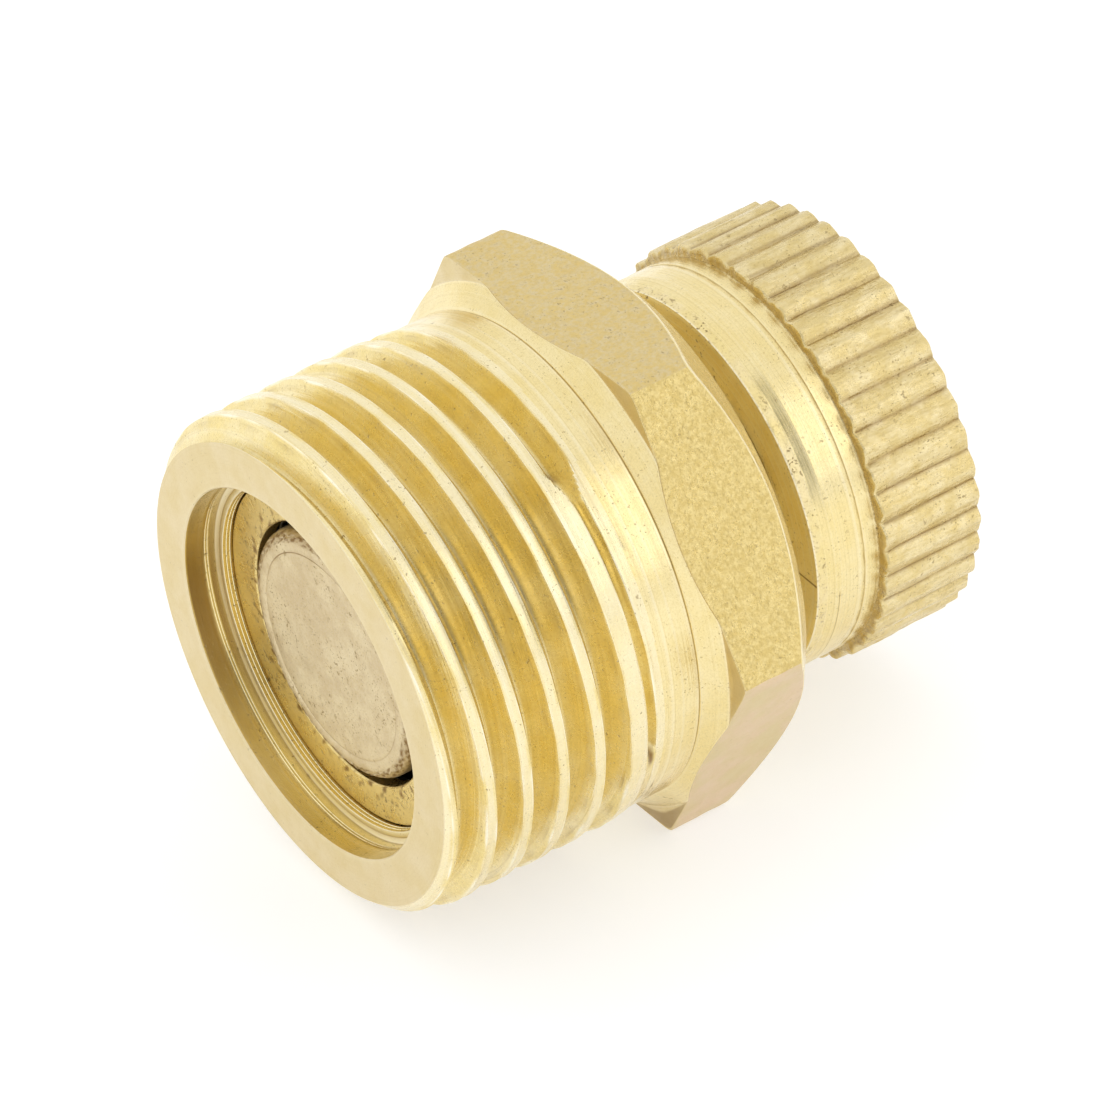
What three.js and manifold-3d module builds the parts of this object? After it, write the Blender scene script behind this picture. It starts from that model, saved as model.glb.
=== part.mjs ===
// Hygroscopic radiator air vent with a G 3/8 thread and a knurled brass knob.
// The vent lies on a hexagon flat with its axis along X: the thread points to -X and the knob to +X.
// Each piece is drawn with x measured along the axis from the face of the thread end, in millimetres.
import * as THREE from "three";
import { mergeVertices } from "three/addons/utils/BufferGeometryUtils.js";
import Module from "manifold-3d";

const wasm = await Module();
wasm.setup();

// ---- driving dimensions, in mm ----

const SIDES = 36; // facets round the casing
const INNER_SIDES = 24; // facets round the small pieces inside it
const OVERLAP = 0.5; // how far two solids reach into each other before they are joined
const PAST = 1; // how far a cut runs past the face it opens

const thread = { major: 16.662, pitch: 1.337, end: 7.6 }; // G 3/8, Whitworth form
thread.crestRadius = thread.major / 2;
thread.rootRadius = thread.crestRadius - 0.6403 * thread.pitch;
thread.rimRadius = 7.75;
thread.leadIn = 0.65; // length of the lead-in chamfer
thread.firstCrest = 0.67; // where the first crest lies on the +Y side
thread.stepsPerTurn = 24;

const shank = { radius: 8.2, flareStart: 9.2, flareRadius: 8.9 };
const hex = { acrossFlats: 17, front: 9.8, chamferStart: 11.9, back: 13.4, backRadius: 8.0 };
hex.cornerRadius = hex.acrossFlats / Math.sqrt(3);

const neck = { radius: 5.0, end: 17.4, flatHeight: 4.65, chamfer: 0.3 }; // M10 x 0.75, drawn smooth
const mouth = { radius: 6.2, depth: 1.15 };
const chamber = { radius: 5.78, end: 8.4 }; // holds the check valve
const seat = { holeRadius: 2.2, end: 9.4 };
const cavity = { radius: 4.1 }; // holds the fibre discs

const travel = 1.2; // plunger and knob stroke to each side of the place drawn
const seatClearance = 0.05;

const inlet = { front: 1.5, back: 2.1, holeRadius: 4.45, fit: 0.02 };

const seal = { tubeRadius: 0.42, ringRadius: 2.9 };
seal.centre = chamber.end - travel - seatClearance - seal.tubeRadius;

const plunger = {
  faceX: 1.3,
  tailRadius: 4.2,
  tailEnd: 2.6,
  rimRound: 0.4,
  waistRadius: 3.4,
  flangeRadius: 5.2,
  flangeThickness: 0.6,
  hubRadius: 2.4,
  noseRadius: 1.5,
  noseEnd: 10.2,
};
plunger.flangeFace = seal.centre - seal.tubeRadius - 0.03;
plunger.flangeBack = plunger.flangeFace - plunger.flangeThickness;
plunger.hubEnd = seal.centre + 0.3;

const spring = { wireRadius: 0.2, coilRadius: 4.95, turns: 3, endGap: 0.05, stepsPerTurn: 20, wireSides: 6 };

const pin = {
  gapToNose: 0.05,
  headRadius: 1.7,
  headThickness: 0.5,
  shaftRadius: 0.9,
  grooveRadius: 0.7,
  swivelStart: 18.2,
  swivelEnd: 18.8,
  swivelRadius: 1.15,
};
pin.start = plunger.noseEnd + pin.gapToNose;
pin.headEnd = pin.start + pin.headThickness;

const washer = { radius: 3.8, holeRadius: 1.05, thickness: 0.5, portCount: 6, portRadius: 0.45, portCircle: 2.5 };
const disc = { count: 8, radius: 3.7, holeRadius: 1.1, thickness: 0.55, spacing: 0.6 };
const stack = { gap: 0.07 };
stack.lowerWasher = pin.headEnd + stack.gap;
stack.firstDisc = stack.lowerWasher + washer.thickness + stack.gap;
stack.upperWasher = stack.firstDisc + disc.count * disc.spacing;
stack.clip = stack.upperWasher + washer.thickness + stack.gap;

const clip = { thickness: 0.3, innerRadius: 0.78, outerRadius: 1.8, mouthAngle: Math.PI / 3 };

const knob = {
  front: 14.85,
  frontRadius: 6.61,
  bandEnd: 15.6,
  skirtRadius: 6.69,
  boreRadius: 5.35,
  boreEnd: 19.3,
  end: 20.9,
  bossRadius: 2.6,
  bossStart: 17.6,
  socketRadius: 1.35,
  socketEnd: 19.1,
};
const knurl = { start: 17.25, teeth: 42, tipRadius: 7.13, rootRadius: 6.92 };
const gasket = { thickness: 0.6, innerRadius: 4.2, outerRadius: 5.2, gap: 0.05 };
const swivelRing = { start: 17.8, thickness: 0.25, innerRadius: 1.0, fit: 0.02 };

// ---- materials ----

const brass = new THREE.MeshStandardMaterial({ color: 0xd9bd7c, roughness: 0.35, metalness: 1 });
const steel = new THREE.MeshStandardMaterial({ color: 0xc3c5c6, roughness: 0.3, metalness: 1 });
const dullBrass = new THREE.MeshStandardMaterial({ color: 0xcdbb96, roughness: 0.7, metalness: 1 });
const rubber = new THREE.MeshStandardMaterial({ color: 0x1d1d1c, roughness: 0.8, metalness: 0 });
const fibre = new THREE.MeshStandardMaterial({ color: 0xb9895a, roughness: 0.95, metalness: 0 });

// ---- solids and booleans ----

function solidFrom(geometry) {
  geometry.deleteAttribute("normal");
  geometry.deleteAttribute("uv");
  const merged = mergeVertices(geometry, 1e-4);
  return new wasm.Manifold(
    new wasm.Mesh({
      numProp: 3,
      vertProperties: merged.attributes.position.array,
      triVerts: new Uint32Array(merged.index.array),
    }),
  );
}

function geometryFrom(solid) {
  const mesh = solid.getMesh();
  const geometry = new THREE.BufferGeometry();
  geometry.setAttribute("position", new THREE.BufferAttribute(mesh.vertProperties, 3));
  geometry.setIndex(new THREE.BufferAttribute(mesh.triVerts, 1));
  return geometry;
}

// A turned piece: the outline is a closed loop of [x, radius], and it runs anticlockwise in that plane.
function turned(outline, sides = SIDES) {
  const points = outline.map(([x, radius]) => new THREE.Vector2(radius, x));
  const onAxis = outline[0][1] === 0;
  if (!onAxis) points.push(points[0].clone());
  const geometry = new THREE.LatheGeometry(points, sides);
  geometry.rotateZ(-Math.PI / 2);
  return solidFrom(geometry);
}

// A plain tube between two places on the axis.
function tube(start, end, innerRadius, outerRadius, sides = SIDES) {
  const outline = [
    [start, innerRadius],
    [start, outerRadius],
    [end, outerRadius],
    [end, innerRadius],
  ];
  return turned(outline, sides);
}

// A flat outline in the plane across the axis, thickened along the axis.
function across(shape, start, length, curveSegments = 12) {
  const geometry = new THREE.ExtrudeGeometry(shape, { depth: length, bevelEnabled: false, curveSegments });
  geometry.rotateY(Math.PI / 2);
  geometry.rotateX(Math.PI / 2);
  geometry.translate(start, 0, 0);
  return solidFrom(geometry);
}

function polygon(count, radiusAt) {
  const points = Array.from({ length: count }, (_, i) => {
    const angle = (i * 2 * Math.PI) / count;
    return new THREE.Vector2(radiusAt(i) * Math.cos(angle), radiusAt(i) * Math.sin(angle));
  });
  return new THREE.Shape(points);
}

// A closed skin over rings of points: each ring joins the next, and the two end rings are capped.
function skinOver(rings) {
  const sides = rings[0].length;
  const index = [];
  for (let i = 0; i + 1 < rings.length; i++) {
    for (let j = 0; j < sides; j++) {
      const a = i * sides + j;
      const b = i * sides + ((j + 1) % sides);
      index.push(a, b, a + sides, b, b + sides, a + sides);
    }
  }
  const last = (rings.length - 1) * sides;
  for (let j = 1; j + 1 < sides; j++) {
    index.push(0, j + 1, j);
    index.push(last, last + j, last + j + 1);
  }
  const geometry = new THREE.BufferGeometry();
  geometry.setAttribute("position", new THREE.Float32BufferAttribute(rings.flat(2), 3));
  geometry.setIndex(index);
  return solidFrom(geometry);
}

// A section of [x, radius] points carried round the axis along a right-handed helix.
function helix(section, startX, pitch, turns, stepsPerTurn) {
  const steps = Math.round(turns * stepsPerTurn);
  const rings = [];
  for (let i = 0; i <= steps; i++) {
    const angle = (2 * Math.PI * i) / stepsPerTurn;
    const shift = startX + (pitch * i) / stepsPerTurn;
    rings.push(section.map(([x, r]) => [shift + x, r * Math.cos(angle), r * Math.sin(angle)]));
  }
  return skinOver(rings);
}

// ---- body ----

function threadRidge() {
  const sunkRadius = thread.rootRadius - 0.2; // the ridge starts inside the core
  const halfCrest = thread.pitch * 0.08;
  const halfBase = halfCrest + (thread.crestRadius - sunkRadius) * Math.tan(THREE.MathUtils.degToRad(27.5));
  const section = [
    [-halfBase, sunkRadius],
    [halfBase, sunkRadius],
    [halfCrest, thread.crestRadius],
    [-halfCrest, thread.crestRadius],
  ];
  const turns = (thread.end + thread.pitch) / thread.pitch;
  const ridge = helix(section, thread.firstCrest - thread.pitch, thread.pitch, turns, thread.stepsPerTurn);
  const room = turned([
    [0, 0],
    [0, thread.rimRadius],
    [thread.leadIn, thread.crestRadius],
    [thread.leadIn, thread.crestRadius + 0.1],
    [thread.end + 0.2, thread.crestRadius + 0.1],
    [thread.end + 0.2, 0],
  ]);
  return ridge.intersect(room);
}

// The hexagon with the flare in front of it, which is turned on the same bar.
function hexagon() {
  const outline = polygon(6, () => hex.cornerRadius);
  const prism = across(outline, shank.flareStart, hex.back - shank.flareStart);
  const slope = (hex.cornerRadius - hex.backRadius) / (hex.back - hex.chamferStart);
  const room = turned([
    [shank.flareStart, 0],
    [shank.flareStart, shank.radius],
    [hex.front, shank.flareRadius],
    [hex.front, hex.cornerRadius + slope],
    [hex.chamferStart - 1, hex.cornerRadius + slope],
    [hex.back, hex.backRadius],
    [hex.back, 0],
  ]);
  return prism.intersect(room);
}

// The neck that the knob screws on, with two flats that let the air out past the thread.
function neckStub() {
  const width = 4 * neck.radius;
  const length = neck.end - hex.back + OVERLAP;
  const slab = new THREE.BoxGeometry(length, width, 2 * neck.flatHeight);
  slab.translate(neck.end - length / 2, 0, 0);
  const start = hex.back - OVERLAP;
  const round = turned([
    [start, 0],
    [start, neck.radius],
    [neck.end - neck.chamfer, neck.radius],
    [neck.end, neck.radius - neck.chamfer],
    [neck.end, 0],
  ]);
  return round.intersect(solidFrom(slab));
}

function passage() {
  return turned([
    [-PAST, 0],
    [-PAST, mouth.radius],
    [mouth.depth, mouth.radius],
    [mouth.depth, chamber.radius],
    [chamber.end, chamber.radius],
    [chamber.end, seat.holeRadius],
    [seat.end, seat.holeRadius],
    [seat.end, cavity.radius],
    [neck.end + PAST, cavity.radius],
    [neck.end + PAST, 0],
  ]);
}

function bodyPiece() {
  const core = turned([
    [0, 0],
    [0, thread.rootRadius],
    [thread.end, thread.rootRadius],
    [thread.end, shank.radius],
    [shank.flareStart + OVERLAP, shank.radius],
    [shank.flareStart + OVERLAP, 0],
  ]);
  return core.add(threadRidge()).add(hexagon()).add(neckStub()).subtract(passage());
}

function inletRing() {
  return tube(inlet.front, inlet.back, inlet.holeRadius, chamber.radius - inlet.fit);
}

// ---- check valve ----

function checkPlunger() {
  const roundPoints = 2;
  const rim = Array.from({ length: roundPoints + 1 }, (_, i) => {
    const angle = (i * Math.PI) / 2 / roundPoints;
    const x = plunger.faceX + plunger.rimRound * (1 - Math.cos(angle));
    return [x, plunger.tailRadius - plunger.rimRound * (1 - Math.sin(angle))];
  });
  const outline = [
    [plunger.faceX, 0],
    ...rim,
    [plunger.tailEnd, plunger.tailRadius],
    [plunger.tailEnd, plunger.waistRadius],
    [plunger.flangeBack, plunger.waistRadius],
    [plunger.flangeBack, plunger.flangeRadius],
    [plunger.flangeFace, plunger.flangeRadius],
    [plunger.flangeFace, plunger.hubRadius],
    [plunger.hubEnd, plunger.hubRadius],
    [plunger.hubEnd, plunger.noseRadius],
    [plunger.noseEnd, plunger.noseRadius],
    [plunger.noseEnd, 0],
  ];
  return turned(outline, INNER_SIDES);
}

function plungerSeal() {
  const sides = 8;
  const section = Array.from({ length: sides }, (_, i) => {
    const angle = (-2 * Math.PI * i) / sides;
    return [seal.centre + seal.tubeRadius * Math.cos(angle), seal.ringRadius + seal.tubeRadius * Math.sin(angle)];
  });
  return turned(section, INNER_SIDES);
}

function plungerSpring() {
  const start = inlet.back + spring.endGap + spring.wireRadius;
  const end = plunger.flangeBack - spring.endGap - spring.wireRadius;
  const section = Array.from({ length: spring.wireSides }, (_, i) => {
    const angle = (2 * Math.PI * i) / spring.wireSides;
    return [spring.wireRadius * Math.cos(angle), spring.coilRadius + spring.wireRadius * Math.sin(angle)];
  });
  return helix(section, start, (end - start) / spring.turns, spring.turns, spring.stepsPerTurn);
}

// ---- fibre disc cartridge ----

function portedWasher(start) {
  const ports = Array.from({ length: washer.portCount }, (_, i) => {
    const angle = (i * 2 * Math.PI) / washer.portCount;
    const port = new THREE.Path();
    const portX = washer.portCircle * Math.cos(angle);
    const portY = washer.portCircle * Math.sin(angle);
    return port.absarc(portX, portY, washer.portRadius, 0, 2 * Math.PI, true);
  });
  const shape = polygon(INNER_SIDES, () => washer.radius);
  shape.holes = [new THREE.Path().absarc(0, 0, washer.holeRadius, 0, 2 * Math.PI, true), ...ports];
  return across(shape, start, washer.thickness, 8);
}

function fibreDisc(start) {
  return tube(start, start + disc.thickness, disc.holeRadius, disc.radius, INNER_SIDES);
}

function cartridgePin() {
  const grooveStart = stack.clip - 0.05;
  const grooveEnd = stack.clip + clip.thickness + 0.05;
  const outline = [
    [pin.start, 0],
    [pin.start, pin.headRadius],
    [pin.headEnd, pin.headRadius],
    [pin.headEnd, pin.shaftRadius],
    [grooveStart, pin.shaftRadius],
    [grooveStart, pin.grooveRadius],
    [grooveEnd, pin.grooveRadius],
    [grooveEnd, pin.shaftRadius],
    [pin.swivelStart, pin.shaftRadius],
    [pin.swivelStart, pin.swivelRadius],
    [pin.swivelEnd, pin.swivelRadius],
    [pin.swivelEnd, 0],
  ];
  return turned(outline, INNER_SIDES);
}

function retainingClip() {
  const half = clip.mouthAngle / 2;
  const shape = new THREE.Shape();
  shape.absarc(0, 0, clip.outerRadius, half, 2 * Math.PI - half, false);
  shape.absarc(0, 0, clip.innerRadius, 2 * Math.PI - half, half, true);
  return across(shape, stack.clip, clip.thickness, 16);
}

// ---- knob ----

function knurledGrip() {
  const outline = polygon(2 * knurl.teeth, (i) => (i % 2 ? knurl.rootRadius : knurl.tipRadius));
  return across(outline, knurl.start, knob.end - knurl.start);
}

function knobPiece() {
  const skirt = turned([
    [knob.front, 0],
    [knob.front, knob.frontRadius],
    [knob.bandEnd, knob.skirtRadius],
    [knurl.start + OVERLAP, knob.skirtRadius],
    [knurl.start + OVERLAP, 0],
  ]);
  const hollow = turned([
    [knob.front - PAST, 0],
    [knob.front - PAST, knob.boreRadius],
    [knob.boreEnd, knob.boreRadius],
    [knob.boreEnd, 0],
  ]);
  const boss = tube(knob.bossStart, knob.boreEnd + OVERLAP, knob.socketRadius, knob.bossRadius);
  const socket = turned([
    [knob.bossStart - PAST, 0],
    [knob.bossStart - PAST, knob.socketRadius],
    [knob.socketEnd, knob.socketRadius],
    [knob.socketEnd, 0],
  ]);
  return skirt.add(knurledGrip()).subtract(hollow).add(boss).subtract(socket);
}

function capGasket() {
  const start = knob.boreEnd - gasket.gap - gasket.thickness;
  return tube(start, start + gasket.thickness, gasket.innerRadius, gasket.outerRadius);
}

function pinSwivelRing() {
  const end = swivelRing.start + swivelRing.thickness;
  return tube(swivelRing.start, end, swivelRing.innerRadius, knob.socketRadius - swivelRing.fit);
}

// ---- assembly ----

function addPiece(group, name, solid, material) {
  const mesh = new THREE.Mesh(geometryFrom(solid), material);
  mesh.name = name;
  group.add(mesh);
}

const vent = new THREE.Group();
addPiece(vent, "body", bodyPiece(), brass);
addPiece(vent, "inlet_ring", inletRing(), brass);
addPiece(vent, "check_plunger", checkPlunger(), dullBrass);
addPiece(vent, "plunger_seal", plungerSeal(), rubber);
addPiece(vent, "plunger_spring", plungerSpring(), steel);
addPiece(vent, "cartridge_pin", cartridgePin(), brass);
addPiece(vent, "lower_washer", portedWasher(stack.lowerWasher), brass);
for (let i = 0; i < disc.count; i++) {
  addPiece(vent, `fibre_disc_${i + 1}`, fibreDisc(stack.firstDisc + i * disc.spacing), fibre);
}
addPiece(vent, "upper_washer", portedWasher(stack.upperWasher), brass);
addPiece(vent, "retaining_clip", retainingClip(), steel);
addPiece(vent, "knob", knobPiece(), brass);
addPiece(vent, "cap_gasket", capGasket(), rubber);
addPiece(vent, "pin_swivel_ring", pinSwivelRing(), steel);

// The origin is on the surface that the lower flat rests on, under the middle of the vent's length.
vent.position.set(-knob.end / 2, 0, hex.acrossFlats / 2);

export default vent;
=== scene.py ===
"""Looks of the radiator air vent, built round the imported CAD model.

Every turned piece is a skin of rings round the vent's axis. Along the axis, x is in millimetres from
the face of the thread end; round it, angles run from +Y towards +Z.
"""

import math

import bpy
import numpy as np
from mathutils import Matrix, Vector


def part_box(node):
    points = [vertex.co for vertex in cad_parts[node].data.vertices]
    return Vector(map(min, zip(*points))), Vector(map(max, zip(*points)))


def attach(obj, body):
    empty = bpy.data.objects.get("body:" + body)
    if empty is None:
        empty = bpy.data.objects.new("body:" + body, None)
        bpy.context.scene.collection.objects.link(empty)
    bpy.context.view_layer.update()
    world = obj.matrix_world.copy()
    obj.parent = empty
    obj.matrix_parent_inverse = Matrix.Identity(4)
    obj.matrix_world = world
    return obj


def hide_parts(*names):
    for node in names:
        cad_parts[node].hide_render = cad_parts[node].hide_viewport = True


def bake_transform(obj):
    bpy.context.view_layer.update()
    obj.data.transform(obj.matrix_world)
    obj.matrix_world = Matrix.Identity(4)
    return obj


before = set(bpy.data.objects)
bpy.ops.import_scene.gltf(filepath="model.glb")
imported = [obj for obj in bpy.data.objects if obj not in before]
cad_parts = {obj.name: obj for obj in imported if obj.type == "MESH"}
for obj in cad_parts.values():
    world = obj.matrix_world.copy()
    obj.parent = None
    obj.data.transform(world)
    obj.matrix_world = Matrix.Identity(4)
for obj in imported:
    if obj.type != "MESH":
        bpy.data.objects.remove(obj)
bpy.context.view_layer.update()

# ---- places read from the frame, in millimetres ----

MM = 0.001
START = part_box("body")[0].x
AXIS_HEIGHT = (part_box("knob")[0].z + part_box("knob")[1].z) / 2


def span(node):
    """Where a CAD node begins and ends along the axis."""
    low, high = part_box(node)
    return (low.x - START) / MM, (high.x - START) / MM


def reach(node):
    """The largest radius of a CAD node."""
    low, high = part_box(node)
    return (high.z - low.z) / MM / 2


NECK_END = span("body")[1]
KNOB_FRONT, KNOB_END = span("knob")
RING_FRONT, RING_BACK = span("inlet_ring")
FLAT_RADIUS = reach("body")
CORNER_RADIUS = FLAT_RADIUS / math.cos(math.pi / 6)

# ---- driving dimensions, in millimetres ----

THREAD_PITCH = 1.337
THREAD_CREST = 8.331
THREAD_ROOT = 7.475
THREAD_END = 7.9
CREST_AT = 0.670  # a crest's middle at angle 0
CREST_HALF = 0.18
BURR_WIDTH = 0.03  # of the burr along each edge of a crest, which also carries a painted highlight
GROOVE_NARROWS = 5.345  # turns of groove, to where it becomes a narrow slot
THREAD_TURNS = 5.547  # and to where the slot stops
RIM_RADIUS = 7.76
LEAD_IN = 0.65

SHANK_RADIUS = 8.2
FLARE_START = 9.2
FLARE_RADIUS = 8.9
HEX_FRONT = 9.8
HEX_CHAMFER = 11.9
HEX_BACK = 13.4
HEX_BACK_RADIUS = 8.0

NECK_RADIUS = 4.9  # a little under the CAD neck, to leave room for the knob's play
NECK_THREAD = 14.95
NECK_PITCH = 0.75
NECK_FLAT = 4.65
CAVITY_RADIUS = 4.1
SEAT_START, SEAT_END, SEAT_RADIUS = 8.4, 9.4, 2.2
CHAMBER_RADIUS = 5.78
MOUTH_RADIUS = 6.2
MOUTH_DEPTH = 1.15

KNOB_BORE = 5.35
BORE_CREST = 5.0
KNOB_BORE_END = 19.3
FRONT_RADIUS = 6.59
BEVEL_START = 15.22
BEVEL_END = 15.6
SKIRT_RADIUS = 6.69
KNURL_START = 17.2
KNURL_TEETH = 42
KNURL_TIP = 7.13
KNURL_DEPTH = 0.23
KNOB_PLAY = (0, -0.056, -0.058)  # how far the knob hangs off the axis in its loose thread
PLUNGER_PLAY = (0, 0.14, -0.08)  # and the plunger in the ring

BODY_COLUMNS = 300  # divisible by the hexagon's 6 sides
KNOB_COLUMNS = 588  # divisible by the knurl's 42 teeth


# ---- skins of rings round the axis ----


def ripple(angle, x, seed, turns=(2, 9), per_mm=(0.1, 1.0), waves=6):
    """A smooth random wave, about -1 to 1, that closes on itself round the axis."""
    rng = np.random.default_rng(seed)
    total = 0
    for _ in range(waves):
        count = rng.integers(turns[0], turns[1] + 1)
        run = 2 * math.pi * rng.uniform(*per_mm) * rng.choice([-1, 1])
        total = total + np.sin(count * angle + run * x + rng.uniform(0, 2 * math.pi))
    return total / math.sqrt(waves)


class Skin:
    """Gathers rings of points and the faces between them, and makes one mesh object of them."""

    def __init__(self, angles):
        self.angles = angles
        self.points = []
        self.marks_and_shading = []
        self.faces = []
        self.slots = []
        self.count = 0

    def add(self, x, radius, angle, marks_and_shading):
        x, radius, angle, marks_and_shading = (np.ravel(v) for v in np.broadcast_arrays(x, radius, angle, marks_and_shading))
        self.points.append(np.stack([x, radius * np.cos(angle), radius * np.sin(angle)], 1))
        self.marks_and_shading.append(marks_and_shading)
        self.count += len(x)
        return np.arange(self.count - len(x), self.count)

    def ring(self, x, radius, marks_and_shading=0.0):
        """marks_and_shading is 0 on a plain surface, up to 1 on burrs and painted highlights, and down to -1
        on dirt, marks and painted shade in corners.
        """
        return self.add(x, radius, self.angles, marks_and_shading)

    def quads(self, a, b, c, d, slot):
        """Adds faces; one with two corners that are the same point becomes a triangle or nothing."""
        slots = np.broadcast_to(slot, len(a)).tolist()
        for *corners, own_slot in zip(a.tolist(), b.tolist(), c.tolist(), d.tolist(), slots):
            face = [p for i, p in enumerate(corners) if p != corners[i - 1]]
            if len(set(face)) >= 3:
                self.faces.append(face)
                self.slots.append(own_slot)

    def band(self, first, second, slot=0):
        self.quads(first, np.roll(first, -1), np.roll(second, -1), second, slot)

    def outline(self, last, points, slot=0):
        """Carries the skin from ring last through rings at (x, radius[, marks and painted shading])."""
        for point in points:
            ring = self.ring(*point)
            self.band(last, ring, slot)
            last = ring
        return last

    def helix(self, low, high, ends, pitch, phases, surface, slot=0):
        """Fills between two rings with rows that climb one pitch a turn. surface gives radius and the marks
        and painted shading.
        """
        start, end = ends
        turns = math.ceil((end - start) / pitch) + 1
        first = np.floor(start / pitch) - 1
        rows = [pitch * (first + k + phase) for k in range(turns + 2) for phase in phases]
        x = np.array(rows)[:, None] + pitch * self.angles[None, :] / (2 * math.pi)
        angle = np.broadcast_to(self.angles, x.shape)
        inside = (x > start + 0.004) & (x < end - 0.004)
        ids = np.where(x <= start + 0.004, low[None, :], high[None, :])
        radius, marks_and_shading = surface(x, angle)
        ids[inside] = self.add(x[inside], radius[inside], angle[inside], marks_and_shading[inside])
        seam = np.full(len(rows), high[0])
        seam[: -len(phases)] = ids[len(phases) :, 0]
        right = np.concatenate([ids[:, 1:], seam[:, None]], 1)
        self.quads(ids[:-1].ravel(), right[:-1].ravel(), right[1:].ravel(), ids[1:].ravel(), slot)

    def cap(self, ring, x, slot=0, at_start=False):
        """Closes a ring with a point on the axis."""
        centre = np.repeat(self.add(x, 0.0, 0.0, 0.0), len(ring))
        first, second = (centre, ring) if at_start else (ring, centre)
        self.band(first, second, slot)

    def build(self, name, materials, sharp=35, shift=(0, 0, 0)):
        points = (np.concatenate(self.points) + shift) * MM + [START, 0, AXIS_HEIGHT]
        mesh = bpy.data.meshes.new(name)
        mesh.from_pydata(points.tolist(), [], self.faces)
        for material in materials:
            mesh.materials.append(material)
        mesh.polygons.foreach_set("material_index", self.slots)
        marks_and_shading = mesh.attributes.new("marks_and_shading", "FLOAT", "POINT")
        marks_and_shading.data.foreach_set("value", np.concatenate(self.marks_and_shading).astype(np.float32))
        mesh.shade_smooth()
        mesh.set_sharp_from_angle(angle=math.radians(sharp))
        mesh.validate()
        piece = bpy.data.objects.new(name, mesh)
        bpy.context.scene.collection.objects.link(piece)
        return piece


def even(count):
    return np.arange(count) * 2 * math.pi / count


def crowded_at_corners(count):
    """Angles that lie twice as close at the hexagon's corners as between them."""
    part = np.arange(count) / (count // 6)
    return (part - np.sin(2 * math.pi * part) * 0.5 / (2 * math.pi)) * math.pi / 3


def steps(start, end, count):
    """Places from start to end, without start itself."""
    return np.linspace(start, end, count + 1)[1:]


def finish_piece(piece, node, body):
    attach(piece, body)
    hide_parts(node)
    return piece


# ---- node graphs ----


class Graph:
    """Short ways to add shader nodes to a new material."""

    def __init__(self, name):
        self.material = bpy.data.materials.new(name)
        self.material.use_nodes = True
        self.tree = self.material.node_tree
        self.shader = self.tree.nodes["Principled BSDF"]

    def node(self, kind, **settings):
        made = self.tree.nodes.new(kind)
        for key, value in settings.items():
            setattr(made, key, value)
        return made

    def link(self, source, socket):
        self.tree.links.new(source, socket)

    def feed(self, socket, value):
        if isinstance(value, bpy.types.NodeSocket):
            self.link(value, socket)
        else:
            socket.default_value = value

    def math(self, operation, *values):
        made = self.node("ShaderNodeMath", operation=operation)
        for socket, value in zip(made.inputs, values):
            self.feed(socket, value)
        return made.outputs[0]

    def mix(self, amount, first, second):
        made = self.node("ShaderNodeMix", data_type="RGBA")
        self.feed(made.inputs["Factor"], amount)
        self.feed(made.inputs[6], first)
        self.feed(made.inputs[7], second)
        return made.outputs[2]

    def spread(self, value, low, high, out_low=0.0, out_high=1.0):
        made = self.node("ShaderNodeMapRange", interpolation_type="SMOOTHSTEP")
        for socket, number in zip(made.inputs, (value, low, high, out_low, out_high)):
            self.feed(socket, number)
        return made.outputs[0]

    def place(self):
        """Millimetres from the middle of the thread end, along the axis and across it."""
        coordinates = self.node("ShaderNodeTexCoord").outputs["Object"]
        moved = self.node("ShaderNodeVectorMath", operation="SUBTRACT")
        self.link(coordinates, moved.inputs[0])
        moved.inputs[1].default_value = (START, 0, AXIS_HEIGHT)
        scaled = self.node("ShaderNodeVectorMath", operation="SCALE")
        self.link(moved.outputs[0], scaled.inputs[0])
        scaled.inputs["Scale"].default_value = 1 / MM
        return scaled.outputs[0]

    def noise(self, place, scale, detail=2.0, roughness=0.5, stretch=None):
        if stretch:
            stretched = self.node("ShaderNodeVectorMath", operation="MULTIPLY")
            self.link(place, stretched.inputs[0])
            stretched.inputs[1].default_value = stretch
            place = stretched.outputs[0]
        made = self.node("ShaderNodeTexNoise")
        self.link(place, made.inputs["Vector"])
        made.inputs["Scale"].default_value = scale
        made.inputs["Detail"].default_value = detail
        made.inputs["Roughness"].default_value = roughness
        return made.outputs["Fac"]

    def lines(self, value, scale, detail=3.0):
        """Fine lines along which value is the same."""
        made = self.node("ShaderNodeTexNoise", noise_dimensions="1D")
        self.link(value, made.inputs["W"])
        made.inputs["Scale"].default_value = scale
        made.inputs["Detail"].default_value = detail
        made.inputs["Roughness"].default_value = 0.7
        return made.outputs["Fac"]

    def radius(self, place):
        parts = self.node("ShaderNodeSeparateXYZ")
        self.link(place, parts.inputs[0])
        squares = [self.math("MULTIPLY", parts.outputs[i], parts.outputs[i]) for i in (1, 2)]
        return parts.outputs[0], self.math("SQRT", self.math("ADD", *squares))

    def bump(self, height, distance, normal=None):
        made = self.node("ShaderNodeBump")
        self.link(height, made.inputs["Height"])
        made.inputs["Distance"].default_value = distance * MM
        if normal:
            self.link(normal, made.inputs["Normal"])
        return made.outputs[0]


# ---- materials ----

PALE_BRASS = (0.90, 0.77, 0.45, 1)
YELLOW_BRASS = (0.88, 0.73, 0.34, 1)
OLIVE_BRASS = (0.62, 0.48, 0.20, 1)
GREY_BRASS = (0.71, 0.59, 0.34, 1)
PINK_BRASS = (0.76, 0.60, 0.42, 1)
GOLD_BRASS = (0.72, 0.55, 0.22, 1)
# The next two colours serve real burrs and dirt, and also painted highlights and painted shade.
BURR_AND_HIGHLIGHT = (0.98, 0.92, 0.72, 1)
GRIME_AND_SHADE = (0.26, 0.15, 0.05, 1)
PIT = (0.36, 0.26, 0.12, 1)


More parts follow.
